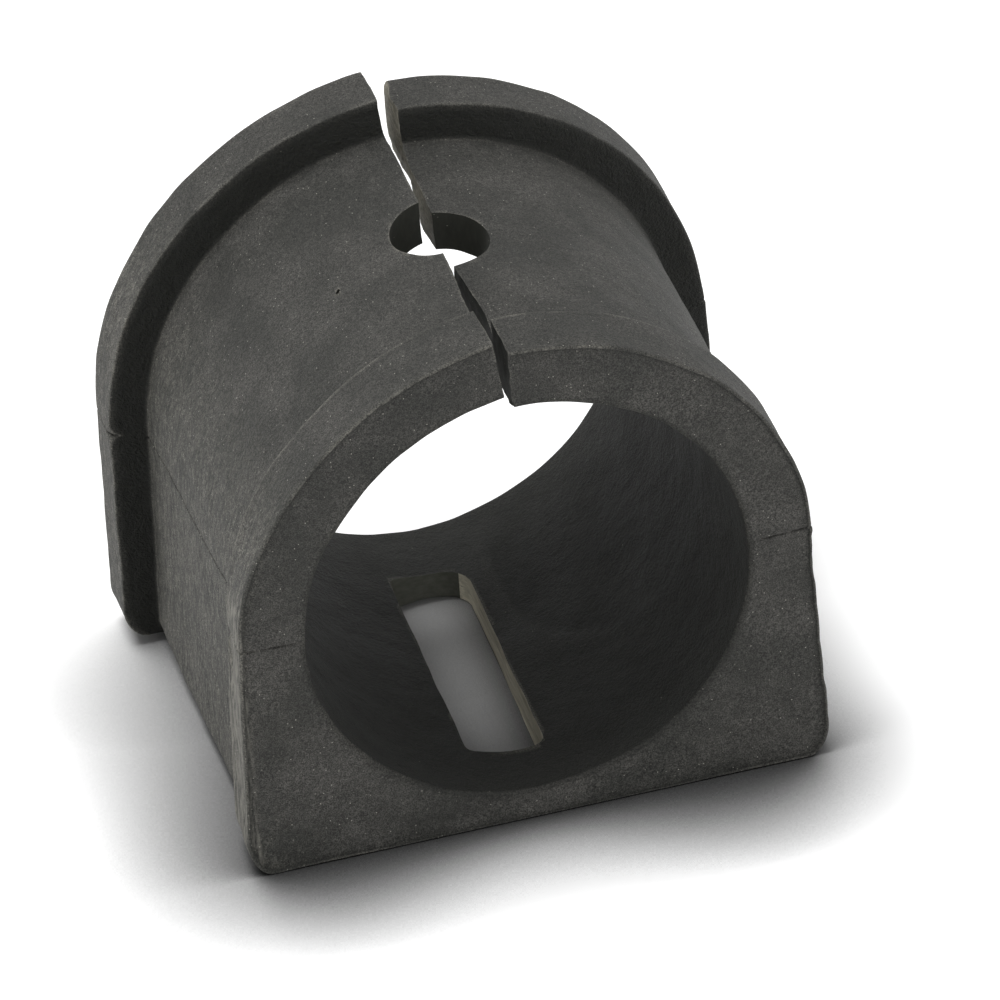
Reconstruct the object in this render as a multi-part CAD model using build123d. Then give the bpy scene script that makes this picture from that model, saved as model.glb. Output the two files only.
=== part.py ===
from build123d import *
import math
import os

# A split bush of black moulded rubber that carries a steering column tube.
# One solid: a D-shaped body between two flanges, bored through along Y,
# slit along its crown and standing on a flat foot.
# Frame: origin at the middle of the foot, bore along Y, +Z up,
# front flange towards -Y. Lengths in millimetres, angles in degrees.

# Bore and length
bore_diameter = 44.0
bush_length = 47.6

# Wall of the body over the bore and floor under it,
# and how far each flange stands proud of the wall
body_wall = 5.0
body_floor = 3.5
front_flange_height = 1.6
back_flange_height = 3.8

# Flanges, and the flare that widens each side from the axis down to the foot
front_flange_thickness = 6.6
back_flange_thickness = 5.8
front_foot_flare = 1.0
body_foot_flare = 0.7
back_foot_flare = 0.4

# Foot corners: rounded on the flanges, cut straight on the body
flange_corner_width = 2.3
flange_corner_height = 3.8
body_corner_width = 1.0
body_corner_height = 1.8

# The split crown: the left limb has sprung up, the right one holds its arc.
# The two limbs part at one upright plane, inside the slit all along it.
limb_spring = 1.3
limb_parting_x = -0.6
slit_front_x = -1.1
slit_middle_x = -0.75
slit_neck_x = -0.7
slit_back_x = -0.4
slit_front_gap = 1.3
slit_middle_gap = 1.0
slit_neck_gap = 1.1
slit_back_gap = 2.5
slit_neck_distance = 8.0

# Locating hole down through the crown, midway between the flanges
locating_hole_diameter = 9.7
locating_hole_x = -0.45

# Drain slot through the floor of the bore, a little askew
slot_width = 7.8
slot_length = 32.0
slot_x = -1.35
slot_forward_shift = 0.7
slot_turn = 1.5
slot_corner_radius = 0.9
slot_far_corner_radius = 2.2

# Moulded edges
rim_outer_radius = 0.6
rim_inner_bevel = 0.25
bore_mouth_bevel = 0.4
flange_root_radius = 0.8

# Groove left along the parting line of the mould, at the height of the axis
parting_groove_width = 0.25
parting_groove_depth = 0.3

# Cutters run past the faces that they cut
overshoot = 1.0

# Bounds for picking edges by where they lie
tolerance = 0.01
slit_reach = 3.0
mouth_reach = 2.0

# Share of a corner's width and height that its curve's handles take
corner_pull = 0.55

bore_radius = bore_diameter / 2
axis_height = bore_radius + body_floor
body_radius = bore_radius + body_wall
front_flange_radius = body_radius + front_flange_height
back_flange_radius = body_radius + back_flange_height
locating_hole_radius = locating_hole_diameter / 2
front_y = -bush_length / 2
back_y = bush_length / 2
body_front_y = front_y + front_flange_thickness
body_back_y = back_y - back_flange_thickness
body_middle_y = (body_front_y + body_back_y) / 2
crown_height = axis_height + max(front_flange_radius, back_flange_radius) + limb_spring
diagonal = math.sqrt(0.5)


def limb_arc(side, radius):
    """Arc of one limb, from the parting line to the plane where the limbs part.

    side is 1 for the right limb, which keeps its arc about the bore's axis,
    and -1 for the left limb, which is turned about its own point on the
    parting line until its crown has risen by limb_spring.
    """
    rise = limb_spring if side < 0 else 0.0
    turn = math.asin(rise / radius)
    centre_x = side * radius * (1 - math.cos(turn))
    centre_z = axis_height + rise
    crown_z = centre_z + math.sqrt(radius**2 - (limb_parting_x - centre_x) ** 2)
    return ThreePointArc(
        (side * radius, axis_height),
        (centre_x + side * radius * diagonal, centre_z + radius * diagonal),
        (limb_parting_x, crown_z),
    )


def across(face, y):
    """The face, drawn as X and Z, stood up across the bore at y."""
    return Plane(origin=(0, y, 0), x_dir=(1, 0, 0), z_dir=(0, -1, 0)) * face


def half_outline(side, radius, flare, corner, rounded):
    """Outer outline of one half of the D, with its corner's width and height."""
    width, height = corner
    arc = limb_arc(side, radius)
    # The side flares towards the foot and ends where the corner begins
    side_x = radius + flare * (1 - height / axis_height)
    foot_x = side_x - width
    foot_end = (side * foot_x, 0)
    side_end = (side * side_x, height)
    if rounded:
        foot_handle = (side * (foot_x + corner_pull * width), 0)
        side_handle = (side * side_x, height * (1 - corner_pull))
        corner_line = Bezier(foot_end, foot_handle, side_handle, side_end)
    else:
        corner_line = Line(foot_end, side_end)
    foot = Line((limb_parting_x, 0), foot_end)
    wall = Line(side_end, arc @ 0)
    middle = Line(arc @ 1, (limb_parting_x, 0))
    return make_face(Wire([foot, corner_line, wall, arc, middle]))


def ring(start_y, end_y, radius, flare, corner, rounded):
    """Slit D from start_y to end_y, its limbs parted at the crown."""
    halves = []
    for side in (-1, 1):
        face = across(half_outline(side, radius, flare, corner, rounded), start_y)
        halves.append(extrude(face, end_y - start_y, dir=(0, 1, 0)))
    return halves[0] + halves[1] - slit_cutter()


def slit_cutter():
    """Slit through the crown: even up to its neck behind the hole, then opening."""
    stations = [
        (front_y - overshoot, slit_front_x, slit_front_gap),
        (front_y, slit_front_x, slit_front_gap),
        (body_middle_y, slit_middle_x, slit_middle_gap),
        (body_middle_y + slit_neck_distance, slit_neck_x, slit_neck_gap),
        (back_y, slit_back_x, slit_back_gap),
        (back_y + overshoot, slit_back_x, slit_back_gap),
    ]
    left = [(x - gap / 2, y) for y, x, gap in stations]
    right = [(x + gap / 2, y) for y, x, gap in stations]
    plan = make_face(Polyline(*left, *reversed(right), close=True))
    height = crown_height - axis_height + overshoot
    return extrude(Plane.XY.offset(axis_height) * plan, height)


def bore_cutter():
    """The tube's space, its upper quarters turned with the limbs."""
    floor_z = axis_height - math.sqrt(bore_radius**2 - limb_parting_x**2)
    quarters = []
    for side in (-1, 1):
        upper = limb_arc(side, bore_radius)
        lower = ThreePointArc(
            (limb_parting_x, floor_z),
            (side * bore_radius * diagonal, axis_height - bore_radius * diagonal),
            (side * bore_radius, axis_height),
        )
        middle = Line(upper @ 1, (limb_parting_x, floor_z))
        face = across(make_face(Wire([lower, upper, middle])), back_y + overshoot)
        quarters.append(extrude(face, bush_length + 2 * overshoot, dir=(0, -1, 0)))
    return quarters[0] + quarters[1]


def locating_hole_cutter():
    """Round hole down through the crown into the bore."""
    height = crown_height - axis_height + overshoot
    hole = Cylinder(
        locating_hole_radius,
        height,
        align=(Align.CENTER, Align.CENTER, Align.MIN),
    )
    return Pos(locating_hole_x, body_middle_y, axis_height) * hole


def slot_cutter():
    """Drain slot through the floor, with one larger corner at the back right."""
    plan = Rectangle(slot_width, slot_length)
    by_reach = sorted(plan.vertices(), key=lambda vertex: vertex.X + vertex.Y)
    plan = fillet(by_reach[:-1], slot_corner_radius)
    corner = max(plan.vertices(), key=lambda vertex: vertex.X + vertex.Y)
    plan = fillet(corner, slot_far_corner_radius)
    place = Pos(slot_x, -slot_forward_shift, -overshoot) * Rot(0, 0, -slot_turn)
    return extrude(place * plan, axis_height)


def parting_groove(side):
    """Fine groove along the mould's parting line, on one side and both ends."""
    outline = [
        (bore_radius - overshoot, front_y),
        (front_flange_radius, front_y),
        (front_flange_radius, body_front_y),
        (body_radius, body_front_y),
        (body_radius, body_back_y),
        (back_flange_radius, body_back_y),
        (back_flange_radius, back_y),
        (bore_radius - overshoot, back_y),
    ]
    section = make_face(Polyline(*outline, close=True))
    outside = offset(section, overshoot, kind=Kind.INTERSECTION)
    core = offset(section, -parting_groove_depth, kind=Kind.INTERSECTION)
    line = extrude(outside - core, parting_groove_width / 2, both=True)
    if side < 0:
        line = mirror(line, Plane.YZ)
    return Pos(0, 0, axis_height) * line


def edges_across(solid, y):
    """Edges that lie across the bore at y, without the foot's and the slit's."""
    found = []
    for edge in solid.edges():
        box = edge.bounding_box()
        in_plane = abs(box.min.Y - y) < tolerance and abs(box.max.Y - y) < tolerance
        in_slit = -slit_reach < box.min.X and box.max.X < slit_reach
        if in_plane and box.max.Z > tolerance and not in_slit:
            found.append(edge)
    return found


def flange(start_y, end_y, outer_y, radius, flare):
    """One flange, its edge at outer_y rounded and the opposite one bevelled."""
    corner = (flange_corner_width, flange_corner_height)
    solid = ring(start_y, end_y, radius, flare, corner, rounded=True)
    inner_y = start_y + end_y - outer_y
    solid = fillet(edges_across(solid, outer_y), rim_outer_radius)
    return chamfer(edges_across(solid, inner_y), rim_inner_bevel)


body_corner = (body_corner_width, body_corner_height)
body = ring(body_front_y, body_back_y, body_radius, body_foot_flare, body_corner, rounded=False)
front_flange = flange(front_y, body_front_y, front_y, front_flange_radius, front_foot_flare)
back_flange = flange(body_back_y, back_y, back_y, back_flange_radius, back_foot_flare)

# Join the flanges to the body, each with a rounded root
bush = body
for collar, root_y in ((front_flange, body_front_y), (back_flange, body_back_y)):
    outline = [edge.position_at(0.5) for edge in edges_across(body, root_y)]
    bush += collar
    root = []
    for edge in edges_across(bush, root_y):
        middle = edge.position_at(0.5)
        if any((middle - point).length < tolerance for point in outline):
            root.append(edge)
    bush = fillet(root, flange_root_radius)

# Open the bore, the locating hole and the drain slot
bush -= bore_cutter()
bush -= locating_hole_cutter()
bush -= slot_cutter()

# Ease both mouths of the bore
for mouth_y in (front_y, back_y):
    centre = Vector(0, mouth_y, axis_height)
    mouth = []
    for edge in edges_across(bush, mouth_y):
        if (edge.position_at(0.5) - centre).length < bore_radius + mouth_reach:
            mouth.append(edge)
    bush = chamfer(mouth, bore_mouth_bevel)

for side in (-1, 1):
    bush -= parting_groove(side)

os.makedirs("parts", exist_ok=True)
export_step(bush, "parts/split_bush.step")
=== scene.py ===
"""Looks of a split steering column bush, moulded in one piece from black rubber.

Lengths are in millimetres until a mesh is made. Angles across the bore are in
degrees: 0 points right, 90 up through the crown and 180 left.
"""

import logging
import math
from dataclasses import dataclass
from enum import Enum

import bmesh
import bpy
import numpy as np
from mathutils import Matrix, Vector
from mathutils.kdtree import KDTree


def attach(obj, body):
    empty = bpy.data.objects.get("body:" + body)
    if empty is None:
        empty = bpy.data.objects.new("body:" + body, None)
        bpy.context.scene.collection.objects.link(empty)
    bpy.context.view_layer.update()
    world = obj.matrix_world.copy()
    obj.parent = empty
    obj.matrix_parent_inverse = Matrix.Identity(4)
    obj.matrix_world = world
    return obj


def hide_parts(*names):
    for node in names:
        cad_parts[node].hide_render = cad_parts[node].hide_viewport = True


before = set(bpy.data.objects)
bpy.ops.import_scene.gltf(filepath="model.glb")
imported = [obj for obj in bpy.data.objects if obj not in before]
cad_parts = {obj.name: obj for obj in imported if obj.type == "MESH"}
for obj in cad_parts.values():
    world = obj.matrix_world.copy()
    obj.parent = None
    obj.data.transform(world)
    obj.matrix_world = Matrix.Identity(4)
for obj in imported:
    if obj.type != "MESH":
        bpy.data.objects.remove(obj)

LOG = logging.getLogger("split_bush")
MM = 0.001
CAD_NODE = "split_bush"

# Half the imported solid's length, a reach to either side just inside its own, and its axis
HALF_LENGTH = 23.8
SIDE_REACH = 31.12
AXIS_HEIGHT = 25.5

# Settings that many nodes share
TIMES = {"operation": "MULTIPLY"}
RGBA = {"data_type": "RGBA"}
RANGE_ENDS = ("From Min", "From Max", "To Min", "To Max")


def linear(hex_colour: str) -> tuple[float, float, float, float]:
    """Turn an sRGB hex colour into linear RGBA.

    Args:
        hex_colour: six hex digits, such as "4a4946".

    Returns:
        Linear red, green, blue and an alpha of 1.
    """
    parts = [int(hex_colour[i : i + 2], 16) / 255 for i in (0, 2, 4)]
    red, green, blue = (c / 12.92 if c <= 0.04045 else ((c + 0.055) / 1.055) ** 2.4 for c in parts)
    return (red, green, blue, 1.0)


def add_node(
    tree: bpy.types.NodeTree, kind: str, settings: dict | None = None, links: dict | None = None
) -> bpy.types.Node:
    """Add one node with its settings and incoming links.

    Args:
        tree: the node tree that takes the node.
        kind: the node's type name.
        settings: properties of the node, or values of its inputs by name or number.
        links: output sockets that feed its inputs, by name or number.

    Returns:
        The new node.
    """
    node = tree.nodes.new(kind)
    for key, value in (settings or {}).items():
        if isinstance(key, str) and hasattr(node, key):
            setattr(node, key, value)
        else:
            node.inputs[key].default_value = value
    for key, socket in (links or {}).items():
        tree.links.new(socket, node.inputs[key])
    return node


def blank_material(name: str) -> tuple[bpy.types.Material, bpy.types.NodeTree]:
    """Start a material whose node tree is empty.

    Args:
        name: the material's name.

    Returns:
        The material and its tree.
    """
    material = bpy.data.materials.new(name)
    material.use_nodes = True
    material.node_tree.nodes.clear()
    return material, material.node_tree


def seen_directly(tree: bpy.types.NodeTree) -> bpy.types.NodeSocket:
    """Add the test of whether a ray comes from the camera, a reflection or a refraction.

    Args:
        tree: the node tree that takes the test.

    Returns:
        A socket that is 1 for such rays and 0 for the light that reaches the object.
    """
    path = add_node(tree, "ShaderNodeLightPath")
    seen = path.outputs["Is Camera Ray"]
    for ray in ("Is Glossy Ray", "Is Transmission Ray"):
        links = {0: seen, 1: path.outputs[ray]}
        seen = add_node(tree, "ShaderNodeMath", {"operation": "MAXIMUM"}, links).outputs[0]
    return seen


def smooth_step(low: float, high: float, value: np.ndarray) -> np.ndarray:
    """Rise smoothly from 0 at low to 1 at high."""
    share = np.clip((value - low) / (high - low), 0.0, 1.0)
    return share * share * (3.0 - 2.0 * share)


@dataclass(frozen=True)
class Ripple:
    """A smooth seeded unevenness: many sine waves of about one length, in mm."""

    wavelength: float
    seed: int
    waves: int = 14
    stretch: tuple[float, float, float] = (1.0, 1.0, 1.0)

    def at(self, points: np.ndarray) -> np.ndarray:
        """Height at each point, with a spread of about 1.

        Args:
            points: N points in mm, as an N by 3 array.

        Returns:
            N heights.
        """
        rng = np.random.default_rng(self.seed)
        ways = rng.normal(size=(self.waves, 3))
        ways /= np.linalg.norm(ways, axis=1)[:, None]
        ways /= self.wavelength * rng.uniform(0.7, 1.5, self.waves)[:, None]
        ways /= np.array(self.stretch)
        phase = rng.uniform(0.0, 2 * math.pi, self.waves)
        return np.sin(2 * math.pi * points @ ways.T + phase).sum(1) * math.sqrt(2.0 / self.waves)

    def hollow(self, points: np.ndarray) -> np.ndarray:
        """The same unevenness as a depth between 0 and 1."""
        return 0.5 + 0.5 * np.tanh(self.at(points))


def mesh_object(name: str, points: np.ndarray, faces: list | np.ndarray) -> bpy.types.Object:
    """Make a smooth-shaded mesh object at the origin, its faces turned outwards.

    Args:
        name: the object's name.
        points: its vertices in mm.
        faces: its faces, as vertex numbers.

    Returns:
        The linked object.
    """
    mesh = bpy.data.meshes.new(name)
    mesh.from_pydata((np.asarray(points) * MM).tolist(), [], [list(map(int, f)) for f in faces])
    mesh.validate()
    work = bmesh.new()
    work.from_mesh(mesh)
    if work.calc_volume(signed=True) < 0:
        bmesh.ops.reverse_faces(work, faces=work.faces)
    work.to_mesh(mesh)
    work.free()
    mesh.polygons.foreach_set("use_smooth", [True] * len(mesh.polygons))
    thing = bpy.data.objects.new(name, mesh)
    bpy.context.scene.collection.objects.link(thing)
    return thing


def tube(points: np.ndarray, rows: int, columns: int, name: str) -> bpy.types.Object:
    """Close a grid of rows round a tube and columns along it into a mesh.

    Args:
        points: vertices in mm, row by row.
        rows: points round the tube.
        columns: points along it.
        name: the object's name.

    Returns:
        The linked object.
    """
    index = np.arange(rows * columns).reshape(rows, columns)
    around = np.roll(index, -1, 0)
    faces = np.stack([index[:, :-1], around[:, :-1], around[:, 1:], index[:, 1:]], -1).reshape(-1, 4).tolist()
    faces.append(index[::-1, 0].tolist())
    faces.append(index[:, -1].tolist())
    return mesh_object(name, points, faces)


def freeze(thing: bpy.types.Object) -> None:
    """Turn the object's modified shape into its plain mesh and drop its modifiers.

    Args:
        thing: the object, which keeps its name.
    """
    graph = bpy.context.evaluated_depsgraph_get()
    made = bpy.data.meshes.new_from_object(thing.evaluated_get(graph), depsgraph=graph)
    thing.modifiers.clear()
    thing.data = made
    made.name = thing.name


def vertex_array(mesh: bpy.types.Mesh) -> np.ndarray:
    """Read a mesh's vertices.

    Args:
        mesh: the mesh.

    Returns:
        Its N vertices in mm, as an N by 3 array.
    """
    flat = np.zeros(len(mesh.vertices) * 3, np.float32)
    mesh.vertices.foreach_get("co", flat)
    return flat.reshape(-1, 3).astype(float) / MM


class Side(Enum):
    """The two limbs that the slit parts."""

    LEFT = -1
    RIGHT = 1


@dataclass(frozen=True)
class LimbSpring:
    """How the left limb curls up towards the slit, where the moulding has sprung."""

    front_rise: float = 1.35
    back_rise: float = 0.85
    starts_at: float = 137.0
    slit_at: float = 93.0
    curl: float = 1.3

    def rise(self, angle: np.ndarray, y: np.ndarray) -> np.ndarray:
        """How far the left limb has risen.

        Args:
            angle: ray angles in degrees.
            y: places along the bore.

        Returns:
            The rise in mm along each ray.
        """
        share = np.clip((self.starts_at - angle) / (self.starts_at - self.slit_at), 0.0, 1.1)
        along = smooth_step(-HALF_LENGTH, HALF_LENGTH, y)
        return (self.front_rise * (1 - along) + self.back_rise * along) * share**self.curl


@dataclass(frozen=True)
class Outline:
    """One D-shaped outline across the bore, as a length for each ray from the axis."""

    left_radius: float
    right_radius: float
    left_foot: float
    right_foot: float
    corner_width: float = 2.3
    corner_height: float = 3.8
    # Share of a corner's width and height that its curve's handles take
    corner_pull: float = 0.55
    crown_swell: float = 0.0
    limbs_part_at: float = 91.3

    def lower_half(self) -> np.ndarray:
        """Draw the walls, corners and foot.

        Returns:
            Points in X and Z, from the left end of the axis round to the right one.
        """
        width, height, pull = self.corner_width, self.corner_height, self.corner_pull
        share = np.linspace(0.0, 1.0, 24)[:, None]
        halves = []
        for side, radius, foot in (
            (Side.LEFT, self.left_radius, self.left_foot),
            (Side.RIGHT, self.right_radius, self.right_foot),
        ):
            wall_x = foot - (foot - radius) * height / AXIS_HEIGHT
            foot_x = wall_x - width
            wall = np.array([radius, AXIS_HEIGHT]) * (1 - share) + np.array([wall_x, height]) * share
            # The corner is a cubic curve from the wall's end to the foot's
            ends = np.array([[wall_x, height], [wall_x, height * (1 - pull)],
                             [foot_x + pull * width, 0.0], [foot_x, 0.0]])
            corner = ((1 - share) ** 3 * ends[0] + 3 * share * (1 - share) ** 2 * ends[1]
                      + 3 * share**2 * (1 - share) * ends[2] + share**3 * ends[3])
            sole = np.array([foot_x, 0.0]) * (1 - share)
            half = np.vstack([wall, corner[1:], sole[1:]])
            half[:, 0] *= side.value
            halves.append(half)
        return np.vstack([halves[0], halves[1][::-1][1:]])

    def ray(self, angle: np.ndarray) -> np.ndarray:
        """Length of each ray from the axis to the outline.

        Args:
            angle: ray angles in degrees, from 0 at the right to 360.

        Returns:
            The lengths in mm, without the spring of the left limb.
        """
        low = self.lower_half() - np.array([0.0, AXIS_HEIGHT])
        low_angle = np.degrees(np.arctan2(low[:, 1], low[:, 0])) % 360
        low_angle[-1] = 360.0
        below = np.interp(angle, low_angle, np.hypot(low[:, 0], low[:, 1]))
        swell = self.crown_swell * np.sin(np.radians(np.clip(angle, 0, 180))) ** 2
        above = np.where(angle < self.limbs_part_at, self.right_radius, self.left_radius) + swell
        return np.where(angle < 180.0, above, below)


@dataclass(frozen=True)
class Station:
    """One point of the section along the bore: its place, its outline and its look.

    front, body and back say how much it takes of each outer outline, and the
    share left over belongs to the bore. offset lengthens its rays, and spread
    moves it along the bore where the channel is shallow. end_face, bloom and
    wear say how much of an end face, of grey bloom and of rubbing it has;
    low bloom also stands for painted shade.
    """

    y: float
    front: float = 0.0
    body: float = 0.0
    back: float = 0.0
    offset: float = 0.0
    spread: float = 0.0
    end_face: float = 0.0
    bloom: float = 1.0
    wear: float = 0.0


@dataclass(frozen=True)
class PartingLine:
    """Where the mould's halves met: its height on each side, at places along the bore."""

    places: tuple[float, ...] = (-23.8, -17.2, 18.0, 23.8)
    left_flanges: tuple[float, ...] = (26.25, 25.4, 25.1, 25.1)
    left_body: tuple[float, ...] = (26.4, 26.4, 24.2, 24.2)
    right: tuple[float, ...] = (26.75, 26.7, 26.2, 26.0)
    groove_width: float = 0.1
    groove_depth: float = 0.27
    step: float = 0.08
    radius: float = 28.0
    # Rays nearer than the first angle follow the line, and those past the second don't
    follows_within: float = 8.0
    free_beyond: float = 35.0

    def shift(self, angle: np.ndarray, y: np.ndarray, body_share: np.ndarray) -> np.ndarray:
        """Turn the rays at 0 and 180 degrees, and those near them, onto the line.

        Args:
            angle: ray angles in degrees.
            y: places along the bore.
            body_share: how much each place belongs to the body between the flanges.

        Returns:
            The turn of each ray in degrees.
        """
        heights = (1 - body_share) * np.interp(y, self.places, self.left_flanges)
        heights = heights + body_share * np.interp(y, self.places, self.left_body)
        left = -np.degrees(np.arcsin((heights - AXIS_HEIGHT) / self.radius))
        right = np.degrees(np.arcsin((np.interp(y, self.places, self.right) - AXIS_HEIGHT) / self.radius))
        from_left = smooth_step(self.free_beyond, self.follows_within, np.abs(angle - 180.0))
        from_right = smooth_step(self.free_beyond, self.follows_within, np.minimum(angle, 360.0 - angle))
        return left * from_left + right * from_right

    def distance(self, straight: np.ndarray, per_degree: float) -> np.ndarray:
        """Distance of each ray from the line.

        Args:
            straight: ray angles in degrees, before they follow the line.
            per_degree: millimetres along the outline for each degree.

        Returns:
            The distances in mm.
        """
        return np.minimum(np.minimum(straight, 360.0 - straight), np.abs(straight - 180.0)) * per_degree


@dataclass(frozen=True)
class Nick:
    """A small notch where the flash was pulled off a left rim."""

    y: float
    z: float
    reach: float


@dataclass(frozen=True)
class Crack:
    """A short crack down a left rim, leaning along the bore as it goes up."""

    y: float = -17.6
    z: float = 24.6
    lean: float = 0.25
    width: float = 0.3
    foot: float = 20.6
    top: float = 25.4
    depth: float = 0.35

    def share(self, y: np.ndarray, z: np.ndarray) -> np.ndarray:
        """How deep the crack is, as a share of its depth.

        Args:
            y: places along the bore.
            z: heights.

        Returns:
            Shares from 0 to 1.
        """
        across = np.exp(-(((y - self.y + self.lean * (self.z - z)) / self.width) ** 2))
        return across * smooth_step(self.foot, self.foot + 1.0, z) * smooth_step(self.top, self.top - 0.6, z)


@dataclass(frozen=True)
class SlotHollow:
    """Shallow hollow in the bore: its edge runs along the slot, then sweeps right."""

    depth: float = 0.5
    edge: float = 0.4
    reach: float = 4.5
    # Angle of the edge beside the slot, and the place from which it bends, in degrees and mm
    angle: float = 284.4
    bends_from: float = 5.5
    bend: float = 5.0
    longest_bend: float = 12.0
    mm_per_degree: float = 0.385

    def share(self, turn: np.ndarray, y: np.ndarray, edge: float, reach: float) -> np.ndarray:
        """How much of the hollow lies on each side of its edge.

        Args:
            turn: ray angles in degrees.
            y: places along the bore.
            edge: width of the hollow's edge in mm, negative for the side next to the slot.
            reach: how far it fades out in mm.

        Returns:
            Shares from 0 to 1.
        """
        sweep = np.clip(self.bends_from - y, 0.0, self.longest_bend)
        beyond = turn - self.angle - self.bend * (sweep / self.bends_from) ** 2
        beyond = beyond * self.mm_per_degree * math.copysign(1.0, edge)
        share = smooth_step(-abs(edge) / 2, abs(edge), beyond) * np.exp(-np.clip(beyond, 0, 30) / reach)
        return share * smooth_step(19.0, 13.0, y) * smooth_step(-8.0, -2.0, y) * (turn > 250.0)


@dataclass(frozen=True)
class Rays:
    """The shell before it is a mesh: one row for each ray, one column for each station."""

    # Ray angles in degrees, before and after they follow the parting line
    straight: np.ndarray
    turn: np.ndarray
    # Ray lengths in mm, places along the bore, and how much each point belongs to the foot
    length: np.ndarray
    place: np.ndarray
    at_foot: np.ndarray
    # The stations' values by name, each as a row, and how much of the bore each one is
    value: dict[str, np.ndarray]
    bore_share: np.ndarray


@dataclass(frozen=True)
class BushShell:
    """The moulded D-shaped shell: bore, two flanges and the channel between them."""

    half_length: float = 23.76
    channel_front: float = -17.2
    channel_back: float = 18.0
    bore_radius: float = 22.0
    # How the bore shifts and widens from its front mouth to its back one
    bore_starts_left: float = 0.25
    bore_moves_right: float = 0.65
    bore_sinks: float = 0.25
    bore_widens: float = 0.3
    # Angles of the foot's two corners, half the angle that each spans, and how it fades
    foot_corners: tuple[float, float] = (230.0, 310.0)
    corner_span: float = 8.0
    corner_fade: float = 12.0
    # Edges, roots and marks
    mouth_round: float = 0.4
    rim_round: float = 0.5
    front_round: float = 0.28
    face_flare: float = 0.42
    rim_ease: float = 0.25
    root_round: float = 0.3
    lip: float = 0.1
    foot_curl: float = 0.9
    flash_depth: float = 0.24
    torn_line: float = 0.25
    nick_depth: float = 0.75
    # Depth of the channel, in mm, at which its roots and edges have their full size
    full_depth: float = 1.8
    hollow: SlotHollow = SlotHollow()
    crack: Crack = Crack()
    nicks: tuple[Nick, ...] = (Nick(-17.5, 24.9, 0.55), Nick(18.0, 25.1, 0.5))
    # Unevenness of the skin and of the end faces, with its depth in mm
    skin_ripples: tuple[tuple[Ripple, float], ...] = ((Ripple(9.0, 11), 0.13), (Ripple(3.2, 12), 0.05))
    face_ripples: tuple[tuple[Ripple, float], ...] = ((Ripple(12.0, 31), 0.1), (Ripple(2.6, 32), 0.035))
    parting: PartingLine = PartingLine()
    spring: LimbSpring = LimbSpring()
    # Outlines of the front flange, the body and the back flange
    front: Outline = Outline(28.65, 28.5, 29.6, 28.95)
    body: Outline = Outline(27.0, 26.5, 27.7, 27.3, corner_width=1.0, corner_height=1.8, corner_pull=0.3)
    back: Outline = Outline(30.85, 30.1, 31.1, 30.8, crown_swell=0.3)

    def bore(self, angle: np.ndarray, y: np.ndarray) -> np.ndarray:
        """Length of each ray to the bore, whose back mouth sits a little to the right.

        Args:
            angle: ray angles in degrees.
            y: places along the bore.

        Returns:
            The lengths in mm.
        """
        back = smooth_step(-self.half_length, self.half_length, y)
        turn = np.radians(angle)
        across = (-self.bore_starts_left + self.bore_moves_right * back) * np.cos(turn)
        drift = across - self.bore_sinks * back * np.sin(turn)
        return self.bore_radius + self.bore_widens * back + drift

    def section(self) -> list[Station]:
        """Lay out the section: bore, back face, back rim, channel, front rim and front face.

        Returns:
            The stations in order, as a closed loop.
        """
        end, mouth, rim, crisp = self.half_length, self.mouth_round, self.rim_round, self.front_round
        past_root = self.root_round + 0.6
        past_edge = self.rim_ease + 0.3
        path = [Station(y, bloom=0.05) for y in np.linspace(-end + mouth, end - mouth, 50)]
        path += self.bore_mouth(1, 0.3)
        path += [self.face_point(end, "back", share, rim) for share in np.linspace(0.06, 0.94, 14)]
        path += self.rounding(end, "back", rim, outwards=True)
        path += [Station(y, back=1.0) for y in np.linspace(end - rim - 0.5, self.channel_back + past_edge, 9)]
        path += self.channel_wall(self.channel_back, "back", 0.4, outwards=False)
        floor = np.linspace(self.channel_back - past_root, self.channel_front + past_root, 44)
        path += [Station(y, body=1.0) for y in floor]
        path += self.channel_wall(self.channel_front, "front", 0.9, outwards=True)
        path += [Station(y, front=1.0) for y in np.linspace(self.channel_front - past_edge, -end + rim + 0.5, 10)]
        path += self.rounding(-end, "front", crisp, outwards=False)
        # The face lies a little under the lip that the rim's edge leaves on it. Its first points have less bloom: a
        # thin dark band of painted shade under the lip
        for share, under, bloom in ((0.985, 1.0, 0.35), (0.95, 0.8, 0.8), (0.9, 0.4, 1.0)):
            path.append(self.face_point(-end + self.lip * under, "front", share, crisp, bloom))
        path += [self.face_point(-end, "front", share, crisp) for share in np.linspace(0.85, 0.05, 18)]
        path += self.bore_mouth(-1, 0.5)
        return path

    def face_point(self, y: float, outline: str, share: float, edge: float, bloom: float = 1.0) -> Station:
        """One point of an end face.

        Args:
            y: its place along the bore.
            outline: name of the flange's outline.
            share: how far it lies from the bore, from 0 to 1 at the rim.
            edge: radius of the rim's edge in mm.
            bloom: how grey it is; low values also paint shade.

        Returns:
            The station.
        """
        offset = self.mouth_round * (1 - share) - edge * share
        return Station(y, **{outline: share}, offset=offset, end_face=1.0, bloom=bloom)

    def bore_mouth(self, side: int, bloom: float) -> list[Station]:
        """Rounded edge between the bore and one end face.

        Args:
            side: 1 for the back mouth and -1 for the front one.
            bloom: how grey the edge is.

        Returns:
            The stations in path order.
        """
        points = []
        for turn in (0.35, 0.7, 1.0):
            angle = turn * math.pi / 2
            y = side * (self.half_length - self.mouth_round + self.mouth_round * math.sin(angle))
            points.append(Station(y, offset=self.mouth_round * (1 - math.cos(angle)), bloom=bloom, wear=0.12))
        return points if side > 0 else points[::-1]

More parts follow.
